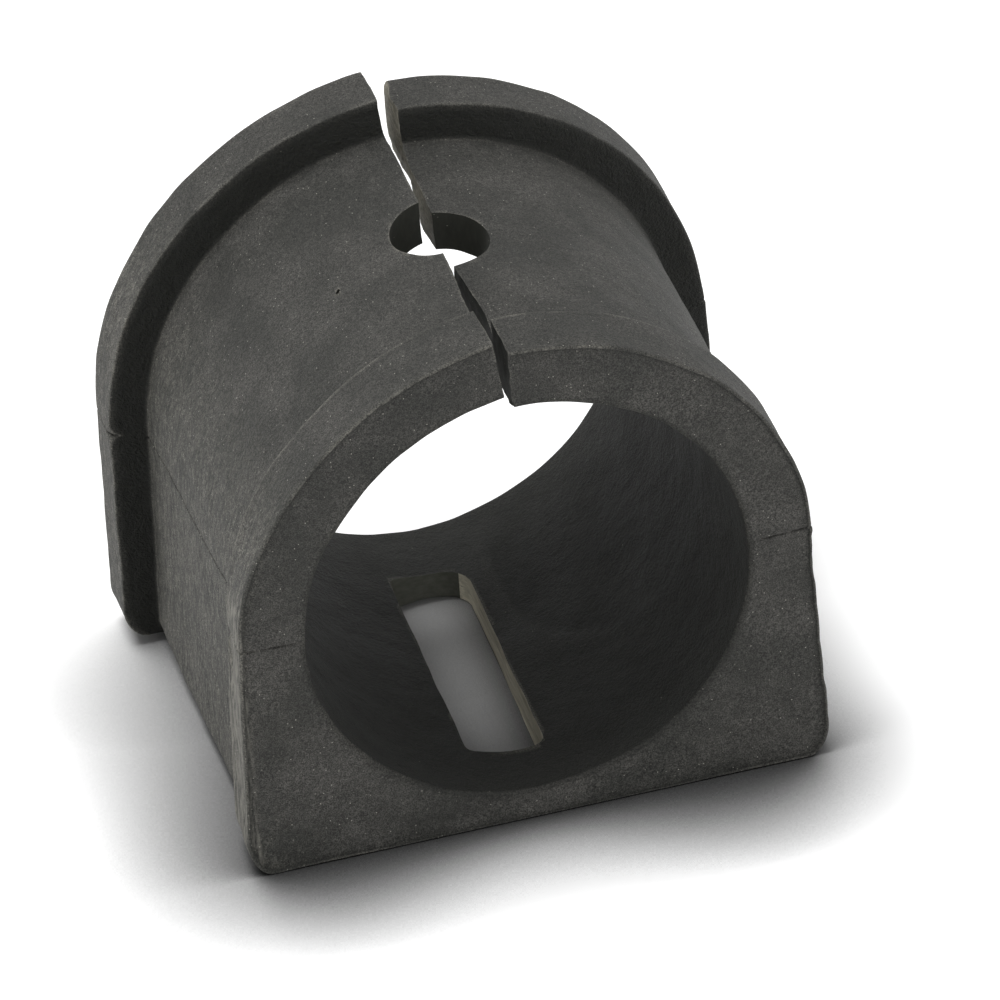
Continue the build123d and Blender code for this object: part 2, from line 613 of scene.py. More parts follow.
    def rounding(self, end: float, outline: str, radius: float, outwards: bool) -> list[Station]:
        """Rounded edge between an end face and its rim.

        Args:
            end: where the face stands along the bore.
            outline: name of the rim's outline.
            radius: radius of the edge in mm.
            outwards: True where the path runs from the face to the rim.

        Returns:
            The stations in path order.
        """
        sign = math.copysign(1.0, end)
        points = []
        for turn, rub in ((0.0, 0.3), (0.22, 0.75), (0.45, 0.75), (0.7, 0.4), (1.0, 0.15)):
            angle = turn * math.pi / 2
            y = end - sign * radius * (1 - math.cos(angle))
            offset = -radius * (1 - math.sin(angle))
            points.append(Station(y, **{outline: 1.0}, offset=offset, wear=rub))
        return points if outwards else points[::-1]

    def channel_wall(self, face: float, outline: str, rub: float, outwards: bool) -> list[Station]:
        """Inner face of one flange, with its eased rim edge and its rounded root.

        Args:
            face: where the face stands along the bore.
            outline: name of the flange's outline.
            rub: how much its rim edge is rubbed.
            outwards: True where the path runs from the channel floor to the rim.

        Returns:
            The stations in path order.
        """
        sign = math.copysign(1.0, face)
        ease, root = self.rim_ease, self.root_round
        rim = {outline: 1.0}
        points = [
            Station(face + sign * ease, **rim, wear=rub),
            Station(face + sign * ease * 0.3, **rim, offset=-ease * 0.3, wear=rub * 0.9, spread=0.9 * sign),
            Station(face, **rim, offset=-ease, spread=sign, bloom=0.2, wear=0.1),
        ]
        # The inner face keeps no bloom: fresh black rubber, partly painted shade of the channel
        for share in (0.8, 0.6, 0.4, 0.2):
            offset = -ease * share + root * (1 - share)
            spread = sign * (2 * share - 1)
            points.append(Station(face, **{outline: share}, body=1 - share, offset=offset, spread=spread, bloom=0.0))
        for turn in (0.0, 0.3, 0.6, 1.0):
            angle = turn * math.pi / 2
            y = face - sign * root * (1 - math.cos(angle))
            offset = root * (1 - math.sin(angle))
            # Bloom and wear grow away from the root's corner, whose dark is painted shade
            grey = turn**3
            points.append(Station(y, body=1.0, offset=offset, spread=-sign, bloom=grey, wear=0.35 * grey))
        return points[::-1] if outwards else points

    def angles(self) -> np.ndarray:
        """Space the rays evenly along the rim, and close together at the parting line and the slit.

        Returns:
            The ray angles in degrees, rising from 0.
        """
        outline = np.linspace(0.0, 360.0, 20001)
        length = self.back.ray(outline)
        x, z = length * np.cos(np.radians(outline)), length * np.sin(np.radians(outline))
        step = np.hypot(np.diff(x), np.diff(z))
        run = np.concatenate([[0.0], np.cumsum(np.minimum(step, 0.05))])
        even = np.interp(np.linspace(0.0, run[-1], 350, endpoint=False), run, outline)
        extra: list[float] = [91.2, 91.4]
        for line in (0.0, 180.0, 360.0):
            extra += [line + d for d in (-1.0, -0.62, -0.4, -0.22, -0.1, 0.0, 0.1, 0.22, 0.4, 0.62, 1.0)]
        extra += list(np.arange(85.0, 97.0, 0.6))
        extra = [a for a in extra if 0.0 <= a < 360.0]
        kept = [a for a in even if min(abs(a - e) for e in extra) > 0.3]
        return np.array(sorted(set(kept + extra)))

    def rays(self) -> Rays:
        """Lay every station out along every ray.

        Returns:
            The rays, before their moulding marks.
        """
        path, straight = self.section(), self.angles()[:, None]
        value = {name: np.array([getattr(s, name) for s in path])[None, :] for name in vars(path[0])}
        y, offset, spread = value["y"], value["offset"], value["spread"]
        turn = (straight + self.parting.shift(straight, y, value["body"])) % 360.0
        front, body, back = (outline.ray(turn) for outline in (self.front, self.body, self.back))
        bore_share = 1.0 - value["front"] - value["body"] - value["back"]
        # Roots and edges of the channel shrink with its depth
        room = np.clip((np.where(y > 0, back, front) - body) / self.full_depth, 0.0, 1.0)
        in_channel = (np.abs(spread) > 0) | ((value["body"] > 0) & (offset != 0))
        offset = np.where(in_channel, offset * room, offset)
        # The rim's rounding stays small where the bush stands on its foot
        from_corner = np.minimum(np.abs(turn - self.foot_corners[0]), np.abs(turn - self.foot_corners[1]))
        under = (turn > self.foot_corners[0] - self.corner_span) & (turn < self.foot_corners[1] + self.corner_span)
        at_foot = np.where(under, smooth_step(0.0, self.corner_fade, from_corner), 0.0)
        at_end = (np.abs(y) > self.half_length - self.rim_round - 0.01) & (offset < 0)
        offset = np.where(at_end, offset * (1 - 0.5 * at_foot), offset)
        bore = bore_share * self.bore(turn, y)
        length = bore + value["front"] * front + value["body"] * body + value["back"] * back + offset
        left = (turn > self.front.limbs_part_at) & (turn < 180.0)
        length = length + np.where(left, self.spring.rise(turn, y), 0.0)
        place = y + 0.15 * spread * (1 - room)
        return Rays(straight, turn, length, place, at_foot, value, bore_share)

    def build(self) -> tuple[bpy.types.Object, dict[str, np.ndarray]]:
        """Make the closed shell, before the slit, hole and slot are cut.

        Returns:
            The shell and, by name, what each of its vertices looks like.
        """
        rays = self.rays()
        angle = np.radians(rays.turn)
        across, up = rays.length * np.cos(angle), AXIS_HEIGHT + rays.length * np.sin(angle)
        grid = self.weathered(rays, np.stack(np.broadcast_arrays(across, rays.place, up), -1))
        rows, columns = grid.shape[:2]
        index = np.arange(rows * columns).reshape(rows, columns)
        down, right = np.roll(index, -1, 0), np.roll(index, -1, 1)
        faces = np.stack([index, right, np.roll(down, -1, 1), down], -1).reshape(-1, 4)
        points = grid.reshape(-1, 3)
        shell = mesh_object("bush_body", points, faces)
        # Roots, edges and the parting line keep their own shape under the mould's relief
        plain = (rays.value["wear"] == 0.0) & (rays.value["spread"] == 0.0)
        soft = (smooth_step(0.6, 1.6, self.parting.distance(rays.straight, 0.49)) * plain).reshape(-1)
        layer = shell.data.attributes.new("soft", "FLOAT", "POINT")
        layer.data.foreach_set("value", soft.astype(np.float32))
        return shell, self.looks(rays, points)

    def looks(self, rays: Rays, points: np.ndarray) -> dict[str, np.ndarray]:
        """Say how grey and how rubbed each vertex of the shell is, and where shade is painted.

        Args:
            rays: the shell's rays.
            points: its vertices in mm.

        Returns:
            Bloom with its painted shade, wear and place of the vertices, by name.
        """
        turn, y = rays.turn, rays.value["y"]
        in_bore = rays.bore_share > 0.99
        # Painted shade darkens the bore just inside the hollow's edge, and the band on the slot's side of the edge is
        # made paler
        paler, painted_hollow_shade = self.hollow.share(turn, y, -0.5, 2.2), self.hollow.share(turn, y, self.hollow.edge, 3.0)
        bloom = rays.value["bloom"] + in_bore * (0.3 * paler - 0.1 * painted_hollow_shade)
        # Paler smears up the right-hand side of the bore
        smear = Ripple(1.9, 91, stretch=(3.0, 1.0, 3.0)).hollow(points).reshape(turn.shape) ** 2
        smear = smear * smooth_step(85.0, 60.0, turn) * smooth_step(5.0, 30.0, turn) * smooth_step(-14.0, -4.0, y)
        bloom = bloom + 0.4 * in_bore * smear
        # The left side and the crown are rubbed most, the edge on the foot not at all
        rubbed = 1.0 - 0.65 * np.maximum(smooth_step(75.0, 45.0, turn), smooth_step(300.0, 320.0, turn))
        return {
            "bloom": np.clip(bloom, 0.0, 1.0).reshape(-1),
            "wear": (rays.value["wear"] * rubbed * (1 - rays.at_foot)).reshape(-1),
            "place": points,
        }

    def weathered(self, rays: Rays, grid: np.ndarray) -> np.ndarray:
        """Give the grid its moulding marks and small irregularities.

        Args:
            rays: the shell's rays.
            grid: its vertices in mm, by ray and station.

        Returns:
            The grid with its marks.
        """
        points, shape = grid.reshape(-1, 3), grid.shape[:2]
        rad = np.radians(rays.turn)
        x, y = grid[..., 0], grid[..., 1]
        outer = np.clip(1.0 - rays.bore_share, 0.0, 1.0) * np.ones(shape)
        from_line = self.parting.distance(rays.straight, self.parting.radius) * math.pi / 180
        groove = np.exp(-((from_line / self.parting.groove_width) ** 2)) * (np.abs(np.cos(rad)) > 0.9)
        lengths = rays.length + self.push(rays, grid, outer, from_line, groove)
        out = grid.copy()
        out[..., 0] = np.clip(lengths * np.cos(rad), -SIDE_REACH, SIDE_REACH)
        out[..., 2] = np.maximum(AXIS_HEIGHT + lengths * np.sin(rad), 0.0)
        # The foot's back left corner has curled a little off the ground
        curl = self.foot_curl * smooth_step(-4.0, -29.0, x) * smooth_step(6.0, 19.0, y)
        out[..., 2] += curl * smooth_step(9.0, 0.0, out[..., 2])
        # Hollows and the parting line in the end faces
        dish = sum(ripple.hollow(points) * depth for ripple, depth in self.face_ripples)
        dish = dish.reshape(shape) * smooth_step(0.0, 0.15, outer) * smooth_step(1.0, 0.97, outer)
        torn = self.torn_line * (0.35 + 0.65 * Ripple(1.6, 33).hollow(points)).reshape(shape)
        out[..., 1] -= np.sign(y) * rays.value["end_face"] * (dish + torn * groove * (outer > 0.02))
        return out

    def push(
        self, rays: Rays, grid: np.ndarray, outer: np.ndarray, from_line: np.ndarray, groove: np.ndarray
    ) -> np.ndarray:
        """Work out how far the marks lengthen each ray, or shorten it where negative.

        Args:
            rays: the shell's rays.
            grid: its vertices in mm, by ray and station.
            outer: how much each station belongs to the outside.
            from_line: distance of each ray from the parting line in mm.
            groove: share of the parting line's depth.

        Returns:
            The pushes in mm.
        """
        points, shape = grid.reshape(-1, 3), grid.shape[:2]
        x, y, z = grid[..., 0], grid[..., 1], grid[..., 2]
        outside = outer > 0.6
        # The foot stands flat
        free = smooth_step(0.0, 1.5, z)
        uneven = sum(ripple.hollow(points) * depth for ripple, depth in self.skin_ripples)
        push = -uneven.reshape(shape) * free * (2 * outer - 1)
        # Fine groove of the parting line, and the tiny step of the mould's halves
        above = (rays.straight < 90.0) * smooth_step(0.0, 0.2, from_line) * smooth_step(6.0, 2.0, from_line)
        push = push - (self.parting.groove_depth * groove + self.parting.step * above) * outside
        # Wavy flash edge down the right-hand side of the front flange
        flash = (x > 24.0) & (z < 26.0) & (y < -14.0) & outside
        wavy = Ripple(4.2, 21, stretch=(30.0, 30.0, 1.0)).hollow(points) + 0.4 * Ripple(1.7, 22).hollow(points)
        push = push - flash * self.flash_depth * wavy.reshape(shape) * smooth_step(1.0, 5.0, z)
        # The left side of the front flange widens towards its face
        flare = smooth_step(-18.5, -23.0, y) * smooth_step(140.0, 170.0, rays.turn)
        flare = flare * smooth_step(228.0, 214.0, rays.turn)
        push = push + self.face_flare * flare * outer
        # Nicks where the flash was pulled off at the left rims, and a short crack down the front one
        on_rim = smooth_step(-27.6, -28.4, x)
        for nick in self.nicks:
            near = np.exp(-(((y - nick.y) / nick.reach) ** 2) - ((z - nick.z) / nick.reach) ** 2)
            push = push - self.nick_depth * near * outside * on_rim
        push = push - self.crack.depth * self.crack.share(y, z) * outside * on_rim
        hollow = self.hollow.share(rays.turn, y, self.hollow.edge, self.hollow.reach)
        return push + self.hollow.depth * hollow * (rays.bore_share > 0.99)


@dataclass(frozen=True)
class SlitStation:
    """The slit at one place along the bore: its walls at the crown, and their lean below it."""

    y: float
    left: float
    right: float
    left_lean: float
    right_lean: float


@dataclass(frozen=True)
class Slit:
    """The rough cut that parts the crown, leaning so that it opens to the right below."""

    stations: tuple[SlitStation, ...] = (
        SlitStation(-25.0, -1.66, -0.54, 0.14, 0.01),
        SlitStation(-20.7, -1.76, -0.42, 0.11, 0.01),
        SlitStation(-17.2, -1.84, -0.34, 0.08, 0.01),
        SlitStation(-15.5, -1.86, -0.12, 0.06, 0.02),
        SlitStation(-13.5, -1.78, 0.02, 0.06, 0.02),
        SlitStation(-11.2, -1.66, -0.1, 0.06, 0.02),
        SlitStation(-8.2, -1.56, -0.22, 0.05, 0.02),
        SlitStation(-4.4, -1.45, -0.54, 0.05, 0.01),
        SlitStation(5.2, -1.23, -0.03, 0.03, 0.04),
        SlitStation(7.2, -1.19, 0.14, 0.03, -0.01),
        SlitStation(9.0, -1.16, 0.3, 0.03, -0.06),
        SlitStation(12.0, -1.09, 0.15, 0.03, 0.03),
        SlitStation(14.0, -1.04, 0.15, 0.03, 0.07),
        SlitStation(16.0, -1.0, 0.28, 0.05, 0.09),
        SlitStation(18.0, -1.08, 0.6, 0.13, 0.03),
        SlitStation(23.8, -1.17, 0.6, 0.14, 0.0),
        SlitStation(25.0, -1.18, 0.6, 0.14, -0.01),
    )
    # Height at which the stations are given, and the cutter's floor and top
    crown: float = 53.5
    floor: float = 40.0
    top: float = 60.0
    # The cutter's reach either way along the bore, and the size of its faces
    reach: float = 25.0
    grain: float = 0.34
    # Sawtooth of the right wall near the front face
    zigzag_depth: float = 0.05
    zigzag_pitch: float = 2.3

    def wall(self, side: Side) -> np.ndarray:
        """Draw one torn wall.

        Args:
            side: the limb that it belongs to.

        Returns:
            Its points in mm, by place along the bore and height.
        """
        ys = np.arange(-self.reach, self.reach + self.grain, self.grain)
        zs = np.concatenate([[self.floor], np.arange(45.5, 58.4, self.grain), [self.top]])
        y, z = np.meshgrid(ys, zs, indexing="ij")
        points = np.stack([np.full(y.shape, side.value * 3.0), y, z], -1).reshape(-1, 3)
        torn = Ripple(7.0, 41 + side.value).at(points) * 0.04 + Ripple(1.5, 51 + side.value).at(points) * 0.015
        places = [s.y for s in self.stations]
        at_crown = [s.left if side is Side.LEFT else s.right for s in self.stations]
        lean = [s.left_lean if side is Side.LEFT else s.right_lean for s in self.stations]
        x = np.interp(y, places, at_crown) + np.interp(y, places, lean) * np.clip(self.crown - z, -3.0, 7.0)
        if side is Side.RIGHT:
            # Ragged at the front face, with a rounded corner low there and two at the back
            front = np.exp(-(((points[:, 1] + HALF_LENGTH) / 2.6) ** 2))
            zigzag = np.abs(((points[:, 2] - 0.25 * points[:, 1]) / self.zigzag_pitch) % 1.0 - 0.5) * 4 - 1
            torn = torn + self.zigzag_depth * zigzag * front + Ripple(0.9, 61).at(points) * 0.015
            x = x + 0.35 * smooth_step(49.0, 47.6, z) * smooth_step(-22.6, -HALF_LENGTH, y)
            x = x + 0.4 * smooth_step(50.2, 47.6, z) * smooth_step(14.0, 18.0, y)
            x = x + 0.6 * smooth_step(54.8, 56.2, z) * smooth_step(20.5, HALF_LENGTH, y)
        return np.stack([x + torn.reshape(y.shape), y, z], -1)

    def cutter(self) -> bpy.types.Object:
        """Make the closed wedge between the torn walls.

        Returns:
            The wedge.
        """
        walls = [self.wall(side) for side in Side]
        rows, columns = walls[0].shape[:2]
        points = np.vstack([w.reshape(-1, 3) for w in walls])
        index = np.arange(rows * columns).reshape(rows, columns)
        quads = np.stack([index[:-1, :-1], index[1:, :-1], index[1:, 1:], index[:-1, 1:]], -1).reshape(-1, 4)
        faces = quads.tolist() + (quads + rows * columns)[:, ::-1].tolist()
        edge = np.concatenate([index[:, 0], index[-1, 1:], index[::-1, -1][1:], index[0, ::-1][1:-1]])
        other = edge + rows * columns
        faces += np.stack([edge, other, np.roll(other, -1), np.roll(edge, -1)], -1).tolist()
        return mesh_object("slit_cutter", points, faces)


@dataclass(frozen=True)
class LocatingHole:
    """The round hole down through the crown."""

    x: float = -0.48
    y: float = 0.4
    radius: float = 4.82
    floor: float = 38.0
    top: float = 60.0

    def cutter(self) -> bpy.types.Object:
        """Make a closed cylinder with a faintly uneven wall.

        Returns:
            The cylinder.
        """
        turns = np.linspace(0, 2 * math.pi, 112, endpoint=False)
        heights = np.concatenate([[self.floor], np.arange(45.0, 58.0, 0.5), [self.top]])
        turn, z = np.meshgrid(turns, heights, indexing="ij")
        points = np.stack([np.cos(turn), np.sin(turn), z], -1).reshape(-1, 3)
        radius = self.radius + Ripple(3.0, 71).at(points * np.array([self.radius, self.radius, 1.0])) * 0.035
        points[:, 0] = self.x + radius * points[:, 0]
        points[:, 1] = self.y + radius * points[:, 1]
        return tube(points, len(turns), len(heights), "hole_cutter")


@dataclass(frozen=True)
class DrainSlot:
    """The slot through the floor of the bore, with one large corner and a striated wall."""

    x: float = -1.35
    y: float = -0.7
    width: float = 7.8
    length: float = 31.2
    # How far each end bulges at its middle, the slot's turn in degrees, and its corners' radii
    bow: float = 0.6
    turn: float = -1.5
    corner: float = 0.7
    far_corner: float = 2.4
    # Distance between the outline's points, and height of the right wall's ridges
    step: float = 0.4
    ridge_height: float = 0.07
    # A point this near to a wall or an end moves with it
    near: float = 0.3

    def outline(self) -> np.ndarray:
        """Draw the slot's plan.

        Returns:
            Points in mm, anticlockwise, in even steps.
        """
        half_x, half_y = self.width / 2, self.length / 2
        corners = ((half_x, -half_y, self.corner), (half_x, half_y, self.far_corner),
                   (-half_x, half_y, self.corner), (-half_x, -half_y, self.corner))
        path: list[tuple[float, float]] = []
        for number, (cx, cy, radius) in enumerate(corners):
            start = -math.pi / 2 + number * math.pi / 2
            centre = (cx - math.copysign(radius, cx), cy - math.copysign(radius, cy))
            for share in np.linspace(0, 1, 7):
                angle = start + share * math.pi / 2
                path.append((centre[0] + radius * math.cos(angle), centre[1] + radius * math.sin(angle)))
        ring = np.array(path + path[:1])
        run = np.concatenate([[0], np.cumsum(np.hypot(*np.diff(ring, axis=0).T))])
        even = np.linspace(0, run[-1], int(run[-1] / self.step), endpoint=False)
        return np.stack([np.interp(even, run, ring[:, 0]), np.interp(even, run, ring[:, 1])], -1)

    def cutter(self) -> bpy.types.Object:
        """Make a closed prism with bowed ends, whose right wall has fine ridges along it.

        Returns:
            The prism.
        """
        plan = self.outline()
        z = np.concatenate([[-3.0], np.arange(0.0, 6.2, 0.22), [9.0]])
        turn = math.radians(self.turn)
        end = self.length / 2
        rows = []
        for px, py in plan:
            base = np.stack([np.full(z.shape, px), np.full(z.shape, py), z], -1)
            rough = Ripple(6.0, 81).at(base) * 0.025
            on_right = smooth_step(3.6, 4.0, np.array([px]))
            ridge = Ripple(0.75, 82, stretch=(8.0, 30.0, 1.0)).at(base) * self.ridge_height * on_right
            bowed = self.bow * (1 - (2 * px / self.width) ** 2) * smooth_step(end - 3.0, end, np.array([abs(py)]))
            uneven = Ripple(2.4, 83).at(base) * 0.05
            outward = math.copysign(1.0, px) if abs(px) > self.width / 2 - self.near else 0.0
            x = px + outward * (rough + ridge)
            y = py + math.copysign(1.0, py) * (bowed + (uneven if abs(py) > end - self.near else 0.0 * z))
            rows.append(np.stack([self.x + x * math.cos(turn) - y * math.sin(turn),
                                  self.y + x * math.sin(turn) + y * math.cos(turn), z], -1))
        return tube(np.array(rows).reshape(-1, 3), len(plan), len(z), "slot_cutter")


@dataclass(frozen=True)
class Pinhole:
    """A small gas pit left in the left limb."""

    place: tuple[float, float, float] = (-11.6, -2.3, 50.45)
    radius: float = 0.34
    depth: float = 0.8
    sides: int = 14

    def cutter(self) -> bpy.types.Object:
        """Make a closed irregular cone that points into the wall.

        Returns:
            The cone.
        """
        centre = np.array(self.place)
        inward = np.array([-centre[0], 0.0, AXIS_HEIGHT - centre[2]])
        inward /= np.linalg.norm(inward)
        side = np.array([0.0, 1.0, 0.0])
        other = np.cross(inward, side)
        # Depths below the skin, with the share of the radius that the pit has there
        rings = ((-1.6, 1.1), (-0.2, 1.0), (self.depth * 0.5, 0.75), (self.depth, 0.3))
        points = []
        for turn in np.linspace(0, 2 * math.pi, self.sides, endpoint=False):
            wobble = 1.0 + 0.35 * math.sin(2 * turn + 0.6) + 0.2 * math.sin(5 * turn)
            for depth, share in rings:
                way = side * math.cos(turn) * wobble * 0.8 + other * math.sin(turn) * wobble
                points.append(centre + inward * depth + way * self.radius * share)
        return tube(np.array(points), self.sides, len(rings), "pinhole_cutter")


@dataclass(frozen=True)
class SkinTones:
    """Colours of weathered black rubber, from its fresh black to its rubbed edges."""

    fresh: str = "0d0e09"
    bloomed: str = "30302d"
    pale_bloom: str = "454441"
    rubbed: str = "7b7971"
    dust: str = "b4b2a8"


@dataclass(frozen=True)
class MouldedRubberSkin:
    """Black natural rubber, compression moulded and weathered.

    The mould's spark-eroded walls leave a fine matt grain. Bloom and handling
    grey the outer faces unevenly, rubbing brightens the edges, and the faces
    that nothing touches stay nearly black. Shade is painted in as well: the
    channel's inner faces and roots, a band under the front rim's lip and one
    inside the bore's hollow are kept dark.
    """

    name: str = "compression_moulded_black_rubber"
    tones: SkinTones = SkinTones()
    # The mould's grain is about 0.05 mm; it is drawn at 0.13 mm, over a coarser leathery one
    grain: float = 0.13
    leather: float = 0.34
    # Soft swells, cloudy bloom, upright drag marks, fine scratches down the rim and dust specks
    swell: float = 1.6
    mottle: float = 7.0
    streak: float = 0.55
    scratch: float = 0.26
    speck: float = 0.42
    # Scale of the drag marks and the scratches along Z: the smaller it is, the longer they are
    streak_draw: float = 0.32
    scratch_draw: float = 0.1
    # How far the drag marks pale the left flank
    flank_rub: float = 0.4

    def values(self, tree: bpy.types.NodeTree, place: bpy.types.NodeSocket) -> dict[str, bpy.types.NodeSocket]:
        """Add the patterns and masks that the colour and the relief share.

        Args:
            tree: the material's tree.
            place: the point on the object.

        Returns:
            The sockets by name.
        """
        value = {name: add_node(tree, "ShaderNodeAttribute", {"attribute_name": name}).outputs["Fac"]
                 for name in ("bloom", "wear")}
        drawn = {draw: add_node(tree, "ShaderNodeMapping", {"Scale": (1.0, 1.0, draw)}, {"Vector": place}).outputs[0]
                 for draw in (self.streak_draw, self.scratch_draw)}
        for name, size, vector, settings in (
            ("grain", self.grain, place, {"Detail": 1.0, "Roughness": 0.6}),
            ("leather", self.leather, place, {"Detail": 2.0, "Roughness": 0.6, "Distortion": 0.6}),
            ("swell", self.swell, place, {"Detail": 2.0}),
            ("mottle", self.mottle, place, {"Detail": 5.0, "Roughness": 0.6}),
            ("streak", self.streak, drawn[self.streak_draw], {"Detail": 4.0, "Roughness": 0.7, "Distortion": 0.8}),
            ("scratch", self.scratch, drawn[self.scratch_draw], {"Detail": 1.0}),
        ):
            settings["Scale"] = 1 / (size * MM)
            value[name] = add_node(tree, "ShaderNodeTexNoise", settings, {"Vector": vector}).outputs["Fac"]
        # Each cell of the dust pattern has a speck at its middle and a number that picks it
        cells = add_node(tree, "ShaderNodeTexVoronoi", {"Scale": 1 / (self.speck * MM), "Randomness": 1.0},
                         {"Vector": place})
        value["from_speck"] = cells.outputs["Distance"]
        value["pick"] = add_node(tree, "ShaderNodeSeparateColor", links={0: cells.outputs["Color"]}).outputs[0]
        axes = add_node(tree, "ShaderNodeSeparateXYZ", links={0: place}).outputs
        for name, source, *ends in (
            ("cloud", value["mottle"], 0.4, 0.66, 0.0, 1.0),
            ("patch", value["mottle"], 0.42, 0.58, 0.15, 1.0),
            ("rough", value["mottle"], 0.0, 1.0, 0.62, 0.84),
            ("tooth", value["grain"], 0.34, 0.66, 0.0, 1.0),
            ("hide", value["leather"], 0.34, 0.66, 0.66, 1.34),
            ("streaks", value["streak"], 0.43, 0.62, 0.0, 1.0),
            ("scratches", value["scratch"], 0.42, 0.6, 0.0, 1.6),
            ("near_speck", value["from_speck"], 0.17, 0.07, 0.0, 1.0),
            ("few", value["pick"], 0.84, 0.9, 0.0, 1.0),
            # Masks: the left flank, all but the front face, the front flange, and its left rim
            ("flank", axes["X"], -21.0 * MM, -27.0 * MM, 0.0, 1.0),
            ("off_face", axes["Y"], -23.68 * MM, -23.4 * MM, 0.0, 1.0),
            ("front_rim", axes["Y"], -16.9 * MM, -17.3 * MM, 0.0, 1.0),
            ("left_rim", axes["X"], -28.1 * MM, -28.5 * MM, 0.0, 1.0),
        ):
            settings = dict(zip(RANGE_ENDS, ends))
            value[name] = add_node(tree, "ShaderNodeMapRange", settings, {"Value": source}).outputs[0]
        tone = add_node(tree, "ShaderNodeMapRange", {"To Min": 0.35, "To Max": 1.75}, {"Value": value["tooth"]})
        value["tone"] = tone.outputs[0]
        # Rubbed edges show paler where the grain stands highest
        crest = add_node(tree, "ShaderNodeMapRange", {"To Min": 0.12, "To Max": 1.0}, {"Value": value["tooth"]})
        value["crest"] = crest.outputs[0]
        scuff = add_node(tree, "ShaderNodeMath", {"operation": "MULTIPLY_ADD", 1: 0.4, 2: 0.42}, {0: value["streaks"]})
        value["scuff_streak"] = scuff.outputs[0]
        for name, one, other in (
            ("toned", "tone", "hide"),
            ("rim_corner", "front_rim", "left_rim"),
            ("scuffed", "rim_corner", "off_face"),
            ("left_side", "flank", "off_face"),
            ("side_streaks", "left_side", "streaks"),
            ("edge", "wear", "crest"),
            ("rubbed_edge", "edge", "patch"),
            ("scuff_marks", "scuff_streak", "scratches"),
            ("scuff", "scuffed", "scuff_marks"),
            ("specks", "near_speck", "few"),
            ("dust", "specks", "bloom"),
        ):
            value[name] = add_node(tree, "ShaderNodeMath", TIMES, {0: value[one], 1: value[other]}).outputs[0]
        return value

    def make(self) -> bpy.types.Material:
        """Build the material.

        Returns:
            The new material.
        """
        material, tree = blank_material(self.name)
        tones = self.tones
        place = add_node(tree, "ShaderNodeTexCoord").outputs["Object"]
        value = self.values(tree, place)
        soft = add_node(tree, "ShaderNodeMath", {**TIMES, 1: self.flank_rub}, {0: value["side_streaks"]})
        rub = add_node(tree, "ShaderNodeMath", {"operation": "MAXIMUM"}, {0: value["rubbed_edge"], 1: value["scuff"]})

        skin = add_node(tree, "ShaderNodeMix", {**RGBA, 6: linear(tones.bloomed), 7: linear(tones.pale_bloom)},
                        {0: value["cloud"]})
        skin = add_node(tree, "ShaderNodeMix", {**RGBA, 7: linear(tones.rubbed)},
                        {0: soft.outputs[0], 6: skin.outputs[2]})
        # Low bloom gives fresh black, which is also painted shade in the channel, under the front lip and in the
        # bore's hollow
        based = add_node(tree, "ShaderNodeMix", {**RGBA, 6: linear(tones.fresh)},
                         {0: value["bloom"], 7: skin.outputs[2]})
        grained = add_node(tree, "ShaderNodeVectorMath", {"operation": "SCALE"},
                           {0: based.outputs[2], "Scale": value["toned"]})
        rubbed = add_node(tree, "ShaderNodeMix", {**RGBA, 7: linear(tones.rubbed)},
                          {0: rub.outputs[0], 6: grained.outputs[0]})
        # Sparse pale specks of dust held by the grain
        dusted = add_node(tree, "ShaderNodeMix", {**RGBA, 7: linear(tones.dust)},
                          {0: value["dust"], 6: rubbed.outputs[2]})

        relief = add_node(tree, "ShaderNodeBump", {"Strength": 0.9, "Distance": 0.09 * MM}, {"Height": value["grain"]})
        for pattern, depth in (("leather", 0.24), ("swell", 0.3)):
            relief = add_node(tree, "ShaderNodeBump", {"Strength": 0.8, "Distance": depth * MM},
                              {"Height": value[pattern], "Normal": relief.outputs[0]})
        shader = add_node(tree, "ShaderNodeBsdfPrincipled", {"IOR": 1.5, "Specular IOR Level": 0.33},
                          {"Base Color": dusted.outputs[2], "Roughness": value["rough"], "Normal": relief.outputs[0]})
        add_node(tree, "ShaderNodeOutputMaterial", links={0: shader.outputs[0]})
        return material


